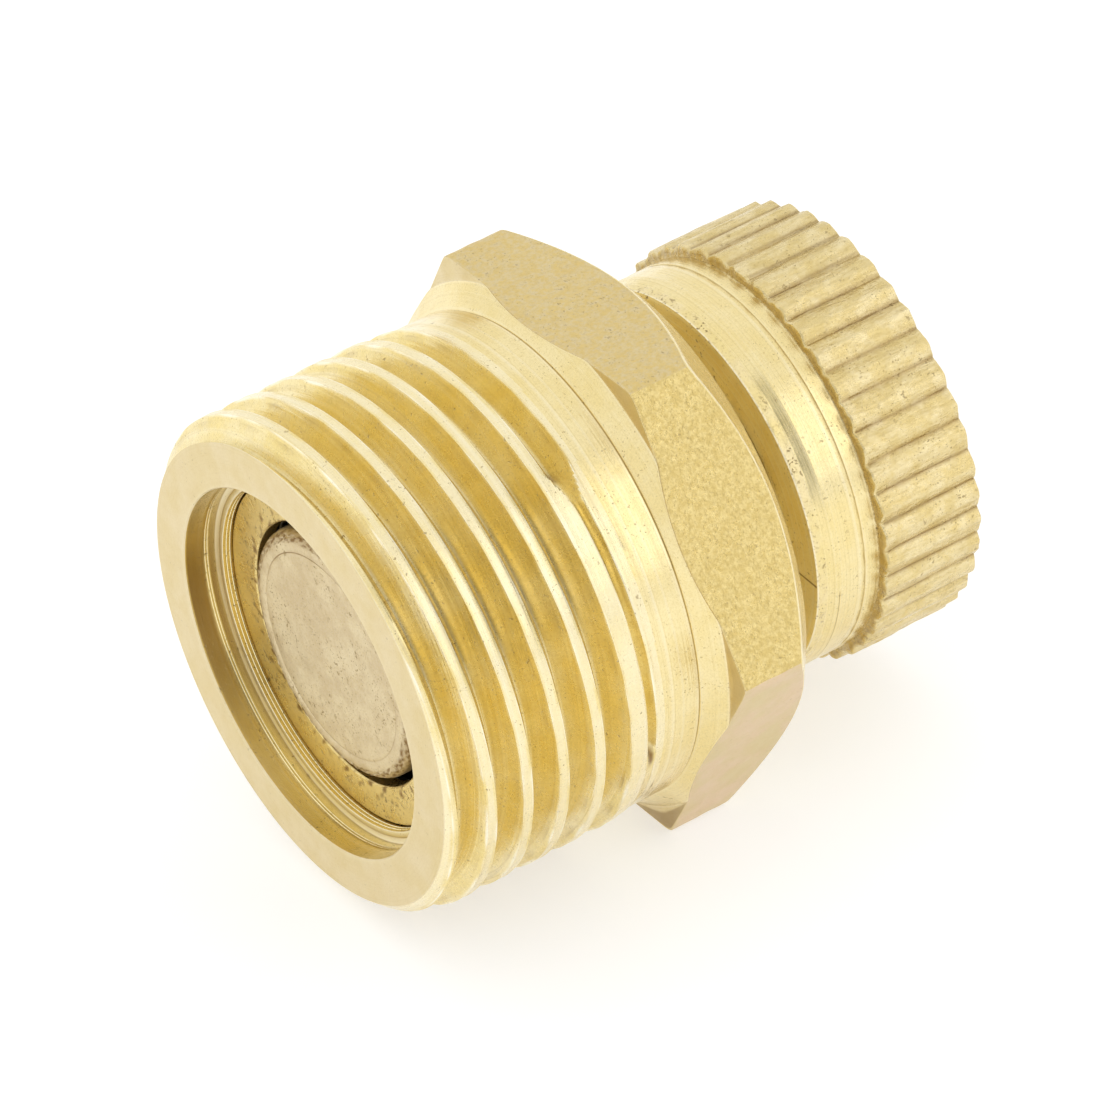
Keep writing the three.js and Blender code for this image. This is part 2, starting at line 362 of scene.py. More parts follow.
def brass(
    name,
    light=PALE_BRASS,
    dark=YELLOW_BRASS,
    rough=(0.24, 0.38),
    line_along=None,
    line_depth=0.0,
    streaks=0.25,
    grain=0.002,
    grain_scale=14.0,
    grain_stretch=None,
    peel=0.0,
    peel_scale=6.0,
    pits=0.5,
    pit_level=0.68,
    stain=0.3,
    mottle_scale=0.6,
):
    """Machined brass: mottled tint, tool lines, fine grain, orange peel, stains and small dark pits, with
    painted highlight bands along the tool lines, and the per-vertex marks, painted highlights and painted
    shade.
    """
    g = Graph(name)
    place = g.place()
    along, radius = g.radius(place)
    line_value = along if line_along == "axis" else radius
    mottle = g.noise(place, mottle_scale, 5, 0.65)
    colour = g.mix(g.spread(mottle, 0.35, 0.65), dark, light)

    fine = g.noise(place, grain_scale, 4, 0.7, stretch=grain_stretch)
    colour = g.mix(g.spread(fine, 0.25, 0.6, stain, 0.0), colour, OLIVE_BRASS)
    if line_along:
        # pale bands along the tool lines: painted highlight bands
        broad = g.lines(line_value, 3.0, 2)
        colour = g.mix(g.spread(broad, 0.5, 0.72, 0.0, streaks), colour, BURR_AND_HIGHLIGHT)
        streak = g.lines(line_value, 16.0, 4)
        colour = g.mix(g.spread(streak, 0.22, 0.5, stain, 0.0), colour, OLIVE_BRASS)

    # burrs and painted highlights go towards the light colour; dirt, marks and painted shade towards the dark
    # one
    marks_and_shading = g.node("ShaderNodeAttribute", attribute_name="marks_and_shading").outputs["Fac"]
    colour = g.mix(g.spread(marks_and_shading, 0.05, 0.9), colour, BURR_AND_HIGHLIGHT)
    colour = g.mix(g.spread(marks_and_shading, -0.05, -0.9), colour, GRIME_AND_SHADE)

    patch = g.noise(place, 0.9, 2, 0.5)
    where = g.spread(patch, 0.42, 0.62, 0.25, 1.0)
    large = g.spread(g.noise(place, 5.0, 2.5, 0.6), pit_level, pit_level + 0.05)
    small = g.spread(g.noise(place, 13.0, 1.5, 0.6), pit_level, pit_level + 0.05)
    dots = g.math("MULTIPLY", g.math("MAXIMUM", large, small), g.math("MULTIPLY", where, pits))
    colour = g.mix(dots, colour, PIT)
    g.link(colour, g.shader.inputs["Base Color"])

    g.shader.inputs["Metallic"].default_value = 1.0
    g.link(g.spread(g.noise(place, 1.7, 3, 0.6), 0.3, 0.7, *rough), g.shader.inputs["Roughness"])

    normal = g.bump(fine, grain)
    normal = g.bump(g.math("SUBTRACT", 1.0, dots), 0.02, normal)
    if peel:
        normal = g.bump(g.noise(place, peel_scale, 3, 0.6), peel, normal)
    if line_along:
        normal = g.bump(g.lines(line_value, 9.0, 5), line_depth, normal)
    g.link(normal, g.shader.inputs["Normal"])
    return g.material


def plain_metal(name, colour, rough, line_depth=0.002):
    g = Graph(name)
    place = g.place()
    along, _ = g.radius(place)
    shade = g.spread(g.noise(place, 1.2, 3, 0.6), 0.3, 0.7)
    darker = tuple(0.8 * c for c in colour[:3]) + (1,)
    g.link(g.mix(shade, darker, colour), g.shader.inputs["Base Color"])
    g.shader.inputs["Metallic"].default_value = 1.0
    g.link(g.spread(shade, 0, 1, rough, rough + 0.12), g.shader.inputs["Roughness"])
    g.link(g.bump(g.lines(along, 14.0), line_depth), g.shader.inputs["Normal"])
    return g.material


def rubber():
    g = Graph("black rubber")
    place = g.place()
    shade = g.noise(place, 3.0, 4, 0.7)
    g.link(g.mix(shade, (0.012, 0.012, 0.012, 1), (0.045, 0.043, 0.04, 1)), g.shader.inputs["Base Color"])
    g.link(g.spread(shade, 0.3, 0.7, 0.55, 0.75), g.shader.inputs["Roughness"])
    g.link(g.bump(g.noise(place, 18.0, 2), 0.004), g.shader.inputs["Normal"])
    return g.material


def fibre():
    """Pressed vulcanised fibre: short crossed hairs in a tan board."""
    g = Graph("pressed fibre")
    place = g.place()
    hairs = g.math(
        "MAXIMUM",
        g.noise(place, 3.0, 3, 0.7, stretch=(6, 1, 5)),
        g.noise(place, 3.0, 3, 0.7, stretch=(6, 5, 1)),
    )
    cloud = g.noise(place, 0.8, 3, 0.6)
    colour = g.mix(g.spread(hairs, 0.45, 0.75), (0.42, 0.25, 0.12, 1), (0.72, 0.52, 0.31, 1))
    colour = g.mix(g.spread(cloud, 0.35, 0.7, 0.0, 0.5), colour, (0.50, 0.32, 0.17, 1))
    g.link(colour, g.shader.inputs["Base Color"])
    g.link(g.spread(hairs, 0.4, 0.7, 0.95, 0.8), g.shader.inputs["Roughness"])
    g.link(g.bump(hairs, 0.02), g.shader.inputs["Normal"])
    return g.material


TURNED = brass(
    "turned brass", light=(0.89, 0.76, 0.42, 1), dark=(0.86, 0.71, 0.34, 1), line_along="axis",
    line_depth=0.008, rough=(0.16, 0.28), stain=0.35,
)
THREADED = brass(
    "threaded brass", light=(0.90, 0.77, 0.42, 1), dark=(0.87, 0.71, 0.30, 1), line_along="axis",
    line_depth=0.010, rough=(0.20, 0.32), pits=0.7, stain=0.45,
)
FACED = brass(
    "faced brass", light=(0.78, 0.66, 0.41, 1), dark=(0.75, 0.62, 0.34, 1), rough=(0.36, 0.48),
    line_along="radius", line_depth=0.003, streaks=0.0, grain=0.006, pits=0.5,
)
BORED = brass(
    "bored brass", light=(0.91, 0.77, 0.37, 1), dark=(0.88, 0.72, 0.30, 1), line_along="axis",
    line_depth=0.008, rough=(0.14, 0.24), pits=0.9, pit_level=0.66, stain=0.2,
)
# One drawn bar brass in three copies, each with its real texture but tinted for how its flats are lit:
# painted light. The lower flats' pink tint is a painted reflection.
LIT_UPPER_FLATS = brass(
    "drawn bar brass, upper flats, painted light", light=GREY_BRASS, dark=GOLD_BRASS, rough=(0.34, 0.46),
    peel=0.022, peel_scale=7.0, grain=0.008, grain_scale=8.0, pits=0.7, pit_level=0.66,
    mottle_scale=5.0, stain=0.75,
)
LIT_SIDE_FLATS = brass(
    "drawn bar brass, side flats, painted light", light=(0.80, 0.64, 0.28, 1), dark=(0.66, 0.50, 0.18, 1),
    rough=(0.24, 0.34), peel=0.05, peel_scale=7.0, grain=0.012, grain_scale=12.0, pits=0.5,
    mottle_scale=6.0, stain=0.6,
)
LIT_LOWER_FLATS = brass(
    "drawn bar brass, lower flats, painted reflection", light=PINK_BRASS, dark=GREY_BRASS, rough=(0.42, 0.52),
    peel=0.010, pits=0.4,
)
SPECKLED = brass(
    "speckled brass", light=(0.86, 0.70, 0.32, 1), dark=(0.80, 0.62, 0.24, 1), rough=(0.24, 0.36),
    grain=0.012, peel=0.02, pits=1.0, pit_level=0.62, stain=0.35,
)
# rough faced brass with a lighter base than the rest: painted light that lifts the shaded gap between hexagon
# and knob
BRIGHTENED_GAP_BRASS = brass(
    "rough faced brass, brightened gap", light=(0.98, 0.86, 0.48, 1), dark=(0.94, 0.79, 0.36, 1),
    rough=(0.50, 0.65), line_along="radius", line_depth=0.006, streaks=0.45, grain=0.012, pits=0.8,
    pit_level=0.64, stain=0.2,
)
RIMMED = brass(
    "pitted rim brass", rough=(0.30, 0.42), grain=0.016, peel=0.03, pits=1.0, pit_level=0.62,
    stain=0.4,
)
KNURLED = brass(
    "knurled brass", light=(0.83, 0.70, 0.40, 1), dark=(0.73, 0.58, 0.26, 1), rough=(0.20, 0.33),
    grain=0.04, grain_scale=8.0, grain_stretch=(0.22, 1, 1), peel=0.022, peel_scale=8.0, pits=0.7,
    pit_level=0.66, stain=0.8, mottle_scale=1.4,
)
DULL = brass(
    "dull brass", light=(0.77, 0.66, 0.44, 1), dark=(0.66, 0.54, 0.34, 1), rough=(0.42, 0.56),
    grain=0.008, pits=0.9, pit_level=0.64, mottle_scale=1.1, stain=0.5,
)
STEEL = plain_metal("spring steel", (0.62, 0.62, 0.61, 1), 0.22)
RUBBER = rubber()
FIBRE = fibre()


# ---- body ----


def hexagon_radius(angle):
    """The hexagon's outline with its corners a little rounded."""
    total = 0
    for k in range(6):
        facing = np.cos(angle - math.pi / 6 - k * math.pi / 3)
        total = total + np.clip(facing, 0, None) ** 90
    return FLAT_RADIUS / total ** (1 / 90)


def pipe_thread(x, angle):
    """Radius and marks of the G 3/8 thread: sharp burred crests, and a last groove that thins and stops. The
    burrs and crest tops get a painted highlight; painted shade lies beside the burrs and deepens into the
    grooves.
    """
    turn = (x - CREST_AT) / THREAD_PITCH - angle / (2 * math.pi)
    offset = (turn - np.round(turn)) * THREAD_PITCH
    groove = np.round(turn - 0.5) + 1 + angle / (2 * math.pi)
    from_groove = THREAD_PITCH / 2 - np.abs(offset)
    run = np.clip((groove - GROOVE_NARROWS) / 0.02, 0, 1)
    width = (THREAD_PITCH / 2 - CREST_HALF) * (1 - 0.6 * run)
    roundness = 0.32
    reach_across = np.sqrt((from_groove / width) ** 2 * (1 - roundness**2) + roundness**2)
    depth = (THREAD_CREST - THREAD_ROOT) * np.clip((1 - reach_across) / (1 - roundness), 0, 1)
    depth = depth * (1 - 0.55 * run)
    depth = depth * np.clip((THREAD_TURNS - groove) / 0.012, 0, 1)
    top = THREAD_CREST - np.clip((x - 7.0) / 0.7, 0, 1) * (THREAD_CREST - SHANK_RADIUS)
    edge = np.exp(-(((from_groove - width) / BURR_WIDTH) ** 2))
    shade_beside = np.exp(-(((from_groove - width + 0.09) / 0.04) ** 2))
    radius = top - depth + 0.018 * edge * (depth < 0.1)
    lead = RIM_RADIUS + x * (THREAD_CREST - RIM_RADIUS) / LEAD_IN
    softness = 0.04
    radius = -softness * np.log(np.exp(-radius / softness) + np.exp(-lead / softness))
    radius = radius + 0.006 * ripple(angle, x, 11, (3, 12), (0.1, 0.7))
    # painted highlight on the burrs and the crest tops; painted shade beside the burrs and growing deeper in
    # the grooves
    marks_and_shading = 0.95 * edge * (0.6 + 0.4 * ripple(angle, x, 12, (5, 40)))
    marks_and_shading = marks_and_shading - (0.28 + 0.14 * ripple(angle, x, 13, (6, 30))) * shade_beside * (1 - 0.6 * run)
    marks_and_shading = marks_and_shading - 0.27 * np.clip(depth / 0.85, 0, 1) ** 2 + 0.4 * (from_groove > width + BURR_WIDTH)
    stop = np.exp(-(((groove - THREAD_TURNS) / 0.008) ** 2))
    step = np.exp(-(((groove - GROOVE_NARROWS) / 0.004) ** 2))
    nick = (stop + 0.5 * step) * np.exp(-((from_groove / 0.12) ** 2))
    return radius, marks_and_shading - 0.9 * nick


def neck_thread(x, angle):
    turn = x / NECK_PITCH - angle / (2 * math.pi)
    slope = np.abs(turn - np.round(turn)) * 2
    radius = NECK_RADIUS - 0.42 * np.clip((slope - 0.12) / 0.8, 0, 1)
    flat = NECK_FLAT / np.maximum(np.abs(np.sin(angle)), 0.2)
    return np.minimum(radius, flat), np.zeros_like(x)


def flat_by_lighting(angles, finishes):
    """The material of the bar's flat at each column of faces, each tinted for how its flats are lit (painted
    light); opposite flats are alike.
    """
    flat = np.floor((angles + 0.5 * (angles[1] - angles[0])) / (math.pi / 3)).astype(int) % 3
    return np.array(finishes)[flat]


def thread_and_shank(skin, slots):
    """From the bore's mouth over the end face, the thread and the shank to the start of the flare."""
    # painted highlights on the edges of the end face and of the first crest
    inner_rim = skin.ring(0.04, MOUTH_RADIUS, 0.3)
    face = [(0.0, MOUTH_RADIUS + 0.04, 0.25)]
    face += [(0.0, r) for r in steps(MOUTH_RADIUS + 0.04, RIM_RADIUS - 0.05, 8)]
    rim = skin.outline(inner_rim, face, slots["faced"])
    outer_radius, _ = pipe_thread(np.full(BODY_COLUMNS, 0.03), skin.angles)
    thread_start = skin.outline(rim, [(0.03, outer_radius, 0.4)], slots["faced"])
    shank_start = skin.ring(THREAD_END, SHANK_RADIUS)
    at_crest = np.array([-0.165, -0.15, -0.135, -0.115, -0.06, 0, 0.06, 0.115, 0.135, 0.15, 0.165])
    crest_phases = CREST_AT / THREAD_PITCH + at_crest
    groove_phases = CREST_AT / THREAD_PITCH + 0.5 + np.linspace(-0.315, 0.315, 15)
    phases = sorted(np.concatenate([crest_phases, groove_phases]) % 1)
    skin.helix(
        thread_start, shank_start, (0.03, THREAD_END), THREAD_PITCH, phases, pipe_thread, slots["threaded"],
    )
    rows = [(x, SHANK_RADIUS + 0.004 * np.sin(7 * x), 0) for x in steps(THREAD_END, FLARE_START - 0.04, 10)]
    # painted shade, then a painted highlight, at the small step where the flare begins
    rows += [(FLARE_START, SHANK_RADIUS - 0.03, -0.5), (FLARE_START + 0.03, SHANK_RADIUS + 0.03, 0.3)]
    return inner_rim, skin.outline(shank_start, rows, slots["turned"])


def hexagon(skin, last, slots):
    """The flare, cut off by the flats, the corners' front faces, the flats and the chamfered back."""
    side = hexagon_radius(skin.angles)
    flare_end = np.minimum(side, FLARE_RADIUS)
    slope = (HEX_FRONT - FLARE_START) / (FLARE_RADIUS - SHANK_RADIUS)
    edge = FLARE_START + (flare_end - SHANK_RADIUS) * slope
    start_x, start_radius = FLARE_START + 0.03, SHANK_RADIUS + 0.03
    # painted shade, then a painted highlight, at the flare's edge
    flare_shading = (0, 0, 0, 0, -0.2, 0.35)
    flare = []
    for t, marks_and_shading in zip((0.2, 0.4, 0.6, 0.8, 0.93, 1.0), flare_shading):
        flare.append((start_x + (edge - start_x) * t, start_radius + (flare_end - start_radius) * t, marks_and_shading))
    last = skin.outline(last, flare, slots["turned"])
    face = []
    # dull is painted shade on the corners' front faces, darkest at the bottom corner, which faces the shaded
    # floor; the faces' edges get a painted highlight
    dull = painted_shade_at(skin.angles, 240, 18, 0.55) + painted_shade_at(skin.angles, 180, 16, 0.25)
    for i, t in enumerate((0.03, 0.3, 0.6, 0.9, 1.0)):
        marks_and_shading = 0.25 if t in (0.03, 1.0) else dull
        face.append((edge + 0.004 * (i + 1), flare_end + (side - 0.03 - flare_end) * t, marks_and_shading))
    last = skin.outline(last, face, slots["faced"])

    bevel_slope = (CORNER_RADIUS - HEX_BACK_RADIUS) / (HEX_BACK - HEX_CHAMFER)
    bevel = HEX_CHAMFER + (CORNER_RADIUS - side) / bevel_slope
    flat_material = flat_by_lighting(skin.angles, (slots["matte"], slots["lit_upper_flats"], slots["lit_side_flats"]))
    # a painted highlight on the edge where the flats begin
    flats = [(edge + 0.05, side - 0.005, 0.15)]
    for t in steps(0, 1, 22):
        x = edge + 0.05 + (bevel - 0.03 - edge - 0.05) * t
        rough = 0.008 * ripple(skin.angles, x, 21, (20, 60), (0.4, 1.6))
        flats.append((x, side + rough * min(1, 6 * t * (1 - t)) - 0.005))
    last = skin.outline(last, flats, flat_material)
    # a painted highlight on the edge where the back cone begins
    cone = [(bevel + 0.03, side - 0.03, 0.45)]
    for t in steps(0.05, 0.97, 5):
        cone.append((bevel + (HEX_BACK - bevel) * t, side + (HEX_BACK_RADIUS - side) * t))
    last = skin.outline(last, [*cone, (HEX_BACK - 0.01, HEX_BACK_RADIUS)], slots["turned"])
    back = [(HEX_BACK, r) for r in steps(HEX_BACK_RADIUS, NECK_RADIUS + 0.15, 6)]
    return skin.outline(last, back, slots["brightened_gap"])


def neck_and_bores(skin, last, slots):
    """The threaded neck, then back through the disc cavity, the seat and the check valve's chamber."""
    flat = NECK_FLAT / np.maximum(np.abs(np.sin(skin.angles)), 0.2)

    def trimmed(radius):
        return np.minimum(radius, flat)

    neck = [(x, trimmed(NECK_RADIUS)) for x in (HEX_BACK + 0.15, 14.0, 14.1)]
    # painted shade at the small step on the neck
    neck += [(14.16, trimmed(NECK_RADIUS - 0.08), -0.3), (NECK_THREAD - 0.05, trimmed(NECK_RADIUS - 0.08))]
    neck_start = skin.outline(last, [*neck, (NECK_THREAD, trimmed(NECK_RADIUS - 0.1))], slots["turned"])
    neck_stop = skin.ring(NECK_END - 0.3, trimmed(NECK_RADIUS - 0.1))
    ends = (NECK_THREAD, NECK_END - 0.3)
    skin.helix(neck_start, neck_stop, ends, NECK_PITCH, np.arange(8) / 8, neck_thread, slots["threaded"])
    inside = [
        (NECK_END - 0.03, NECK_RADIUS - 0.36),
        (NECK_END, NECK_RADIUS - 0.4),
        (NECK_END, CAVITY_RADIUS + 0.05),
        (NECK_END - 0.05, CAVITY_RADIUS),
        *((x, CAVITY_RADIUS) for x in steps(NECK_END - 0.05, SEAT_END, 8)),
        (SEAT_END, SEAT_RADIUS + 0.05),
        (SEAT_END - 0.05, SEAT_RADIUS),
        (SEAT_START + 0.05, SEAT_RADIUS),
        (SEAT_START, SEAT_RADIUS + 0.05),
        (SEAT_START, CHAMBER_RADIUS),
        *((x, CHAMBER_RADIUS) for x in steps(SEAT_START, RING_FRONT + 0.12, 8)),
    ]
    return skin.outline(neck_stop, inside, slots["bored"])


def painted_shade_at(angles, centre, spread, depth):
    """Painted shade that is darkest at one angle, in degrees, and fades to each side."""
    off = np.angle(np.exp(1j * (angles - math.radians(centre))))
    return -depth * np.exp(-((off / math.radians(spread)) ** 2))


def scored(x, radius, height=0.02):
    """A fine raised score round a bore, with a painted highlight on top and painted shade at its foot."""
    return [(x + 0.025, radius, -0.2), (x, radius - height, 0.85), (x - 0.02, radius, -0.4)]


def bore_mouth(skin, last, slots):
    """The short wall in front of the inlet ring, the ledge with painted highlights on its edges and the wider
    mouth, with tool scores.
    """
    wall = [
        # painted shade in the corner against the inlet ring
        (RING_FRONT - 0.02, CHAMBER_RADIUS, -0.5),
        *scored(RING_FRONT - 0.08, CHAMBER_RADIUS),
        *scored(RING_FRONT - 0.21, CHAMBER_RADIUS),
        (MOUTH_DEPTH + 0.02, CHAMBER_RADIUS),
    ]
    last = skin.outline(last, wall, slots["bored"])
    ledge = [
        # painted highlights on the ledge's edges, painted shade in its groove and in the corner to the mouth
        (MOUTH_DEPTH, CHAMBER_RADIUS + 0.02, 0.8),
        (MOUTH_DEPTH, CHAMBER_RADIUS + 0.18, 0.3),
        (MOUTH_DEPTH + 0.015, CHAMBER_RADIUS + 0.21, -0.6),
        (MOUTH_DEPTH, CHAMBER_RADIUS + 0.24, 0.4),
        (MOUTH_DEPTH, MOUTH_RADIUS - 0.03, 0.7),
        (MOUTH_DEPTH - 0.02, MOUTH_RADIUS, -0.5),
    ]
    last = skin.outline(last, ledge, slots["faced"])
    # dull is painted shade on one side of the mouth wall
    dull = painted_shade_at(skin.angles, 355, 50, 0.62)
    mouth = [(1.0, MOUTH_RADIUS, dull), (0.92, MOUTH_RADIUS, dull), *scored(0.85, MOUTH_RADIUS, 0.012)]
    mouth += [*scored(0.76, MOUTH_RADIUS, 0.012), *((x, MOUTH_RADIUS, dull) for x in steps(0.72, 0.1, 6))]
    return skin.outline(last, mouth, slots["bored"])


def body():
    materials = {
        "threaded": THREADED,
        "faced": FACED,
        "turned": TURNED,
        "bored": BORED,
        "lit_upper_flats": LIT_UPPER_FLATS,
        "lit_side_flats": LIT_SIDE_FLATS,
        "matte": LIT_LOWER_FLATS,
        "brightened_gap": BRIGHTENED_GAP_BRASS,
    }
    slots = {name: number for number, name in enumerate(materials)}
    skin = Skin(crowded_at_corners(BODY_COLUMNS))
    inner_rim, last = thread_and_shank(skin, slots)
    last = hexagon(skin, last, slots)
    last = neck_and_bores(skin, last, slots)
    last = bore_mouth(skin, last, slots)
    skin.band(last, inner_rim, slots["bored"])
    piece = skin.build("vent_body", list(materials.values()))
    return finish_piece(piece, "body", "housing")


def ring_stain(angles, radius):
    """Dirt that gathers on the inlet ring towards its hole."""
    spots = np.clip(ripple(angles, 2 * radius, 71, (12, 70), (0.3, 1.0)) - 0.2, 0, 1)
    return -0.85 * spots * np.clip((5.4 - radius) / 0.8, 0, 1)


def inlet_ring():
    angles = even(240)
    skin = Skin(angles)
    hole, outer = 4.45, CHAMBER_RADIUS - 0.02
    loop = [
        # painted shade in the corner against the chamber wall and at the edge of the hole
        (RING_FRONT + 0.05, outer, -0.6),
        (RING_FRONT, outer - 0.05, -0.2),
        *((RING_FRONT, r, ring_stain(angles, r)) for r in steps(outer - 0.05, hole + 0.05, 14)),
        (RING_FRONT + 0.05, hole, -0.4),
        (RING_BACK - 0.05, hole),
        (RING_BACK, hole + 0.05),
        (RING_BACK, outer - 0.05),
        (RING_BACK - 0.05, outer),
    ]
    rings = [skin.ring(*point) for point in loop]
    for first, second in zip(rings, rings[1:] + rings[:1]):
        skin.band(second, first)
    piece = skin.build("inlet_ring_brass", [SPECKLED])
    return finish_piece(piece, "inlet_ring", "housing")


# ---- check valve ----


def check_plunger():
    front, nose_end = span("check_plunger")
    flange = reach("check_plunger")
    seal_front = span("plunger_seal")[1]
    seal_back = span("plunger_seal")[0]
    angles = even(240)
    skin = Skin(angles)
    tail, waist, hub, nose = 4.2, 3.4, 2.4, 1.5
    rim_round = 0.4
    face = [(front + 0.012 * ripple(angles, r, 31, (1, 4)), r) for r in steps(0.2, 3.4, 9)]
    scratch = -0.7 * np.clip(ripple(angles, 0, 34, (1, 4)) + 0.5, 0, 1)
    face += [(front + 0.01, 3.46), (front + 0.03, 3.5, scratch), (front + 0.01, 3.54)]
    face.append((front, tail - rim_round))
    rim = []
    for t in steps(0, 1, 12):
        bend = t * math.pi / 2
        lump = 0.022 * ripple(angles, 6 * t, 32, (14, 60)) * math.sin(math.pi * min(1, t + 0.2))
        x = front + rim_round * (1 - math.cos(bend)) + 0.02 + lump
        stain = 0.32 + 0.6 * np.clip(ripple(angles, 4 * t, 33, (12, 70), (0.3, 1.0)), 0, 1)
        rim.append((x, tail - rim_round * (1 - math.sin(bend)), -stain * math.sin(math.pi * (0.2 + 0.8 * t))))
    rest = [
        (2.55, tail),
        (2.6, tail - 0.05),
        (2.6, waist),
        (seal_back - 0.63, waist),
        (seal_back - 0.63, flange - 0.05),
        (seal_back - 0.58, flange),
        (seal_back - 0.08, flange),
        (seal_back - 0.03, flange - 0.05),
        (seal_back - 0.03, hub),
        (seal_front - 0.17, hub),
        (seal_front - 0.12, hub - 0.05),
        (seal_front - 0.12, nose),
        (nose_end - 0.3, nose),
        (nose_end - 0.06, nose - 0.24),
        (nose_end, nose - 0.5),
    ]
    last = skin.ring(front, 0.2)
    skin.cap(last, front, at_start=True)
    last = skin.outline(last, [*face, *rim, *rest])
    skin.cap(last, nose_end)
    piece = skin.build("check_plunger_brass", [DULL], shift=PLUNGER_PLAY)
    return finish_piece(piece, "check_plunger", "check_valve")


def torus(name, node, body_name, material):
    """A moulded ring of round section that fills its CAD node's box."""
    start, end = span(node)
    tube = (end - start) / 2
    centre = reach(node) - tube
    skin = Skin(even(160))
    rings = []
    for turn in even(32):
        rings.append(skin.ring((start + end) / 2 + tube * math.cos(turn), centre + tube * math.sin(turn)))
    for first, second in zip(rings, rings[1:] + rings[:1]):
        skin.band(second, first)
    piece = skin.build(name, [material], sharp=80)
    return finish_piece(piece, node, body_name)


def spring_wire():
    """Three working turns between two closed, ground end turns."""
    low, high = span("plunger_spring")
    wire = 0.2
    coil = reach("plunger_spring") - wire
    start, end = low + wire, high - wire
    turns, closed, sides, per_turn = 4.6, 0.8, 14, 72
    count = int(turns * per_turn)
    turn = np.linspace(0, turns, count + 1)
    rise = np.interp(turn, [0, closed, turns - closed, turns], [start, start + 0.1, end - 0.1, end])
    smooth = np.convolve(np.pad(rise, 12, mode="edge"), np.ones(25) / 25, "valid")
    points, faces = [], []
    for x, angle in zip(smooth, turn * 2 * math.pi):
        for side in even(sides):
            r = coil + wire * math.sin(side)
            points.append((x + wire * math.cos(side), r * math.cos(angle), r * math.sin(angle)))
    for i in range(count):
        for j in range(sides):
            a, b = i * sides + j, i * sides + (j + 1) % sides
            faces.append((a, b, b + sides, a + sides))
    faces += [tuple(reversed(range(sides))), tuple(range(count * sides, (count + 1) * sides))]
    mesh = bpy.data.meshes.new("spring_wire")
    places = np.array(points) * MM + [START, 0, AXIS_HEIGHT]
    mesh.from_pydata(places.tolist(), [], faces)
    mesh.materials.append(STEEL)
    mesh.shade_smooth()
    piece = bpy.data.objects.new("spring_wire", mesh)
    bpy.context.scene.collection.objects.link(piece)
    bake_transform(piece)
    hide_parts("plunger_spring")
    return piece


# ---- disc cartridge ----


def ported_washer(name, node):
    start, end = span(node)
    outer = reach(node)
    hole, ports, port_radius, port_circle = 1.05, 6, 0.45, 2.5
    disc = round_plate(name, start, end, hole, outer, FACED)
    cutters = []
    for k in range(ports):
        angle = k * 2 * math.pi / ports
        depth = 4 * (end - start) * MM
        bpy.ops.mesh.primitive_cylinder_add(vertices=32, radius=port_radius * MM, depth=depth)
        cutter = bpy.context.object
        cutter.rotation_euler = (0, math.pi / 2, 0)
        cutter.location = (
            START + (start + end) / 2 * MM,
            port_circle * math.cos(angle) * MM,
            AXIS_HEIGHT + port_circle * math.sin(angle) * MM,
        )
        cutters.append(cutter)
    bpy.context.view_layer.update()
    for cutter in cutters:
        cut = disc.modifiers.new("port", "BOOLEAN")
        cut.object = cutter
        cut.operation = "DIFFERENCE"
        cut.solver = "EXACT"
    bpy.context.view_layer.update()
    cut_mesh = bpy.data.meshes.new_from_object(disc.evaluated_get(bpy.context.evaluated_depsgraph_get()))
    disc.modifiers.clear()
    disc.data = cut_mesh
    cut_mesh.set_sharp_from_angle(angle=math.radians(35))
    for cutter in cutters:
        bpy.data.objects.remove(cutter)
    return finish_piece(disc, node, "disc_cartridge")


def round_plate(name, start, end, hole, outer, material, edge=0.05, columns=160, uneven=0.0, seed=0):
    """A flat ring with rounded edges; uneven ripples its faces and its outline."""
    angles = even(columns)
    skin = Skin(angles)
    wave = uneven * ripple(angles, 0, seed, (2, 9))
    rim = outer - uneven + wave * 0.5
    loop = [
        (start + edge, rim),
        (start + edge * 0.3, rim - edge * 0.3),
        (start, rim - edge),
        *((start, rim - edge + (hole + edge - rim + edge) * t) for t in steps(0, 1, 8)),
        (start + edge, hole),
        (end - edge, hole),
        *((end, hole + edge + (rim - edge - hole - edge) * t) for t in (0, *steps(0, 1, 8))),
        (end - edge * 0.3, rim - edge * 0.3),
        (end - edge, rim),
    ]
    rings = [skin.ring(*point) for point in loop]
    for first, second in zip(rings, rings[1:] + rings[:1]):
        skin.band(second, first)
    return skin.build(name, [material])


def fibre_disc(number):
    node = f"fibre_disc_{number}"
    start, end = span(node)
    name = f"fibre_board_{number}"
    piece = round_plate(name, start, end, 1.1, reach(node), FIBRE, 0.08, 128, 0.03, 40 + number)
    return finish_piece(piece, node, "disc_cartridge")


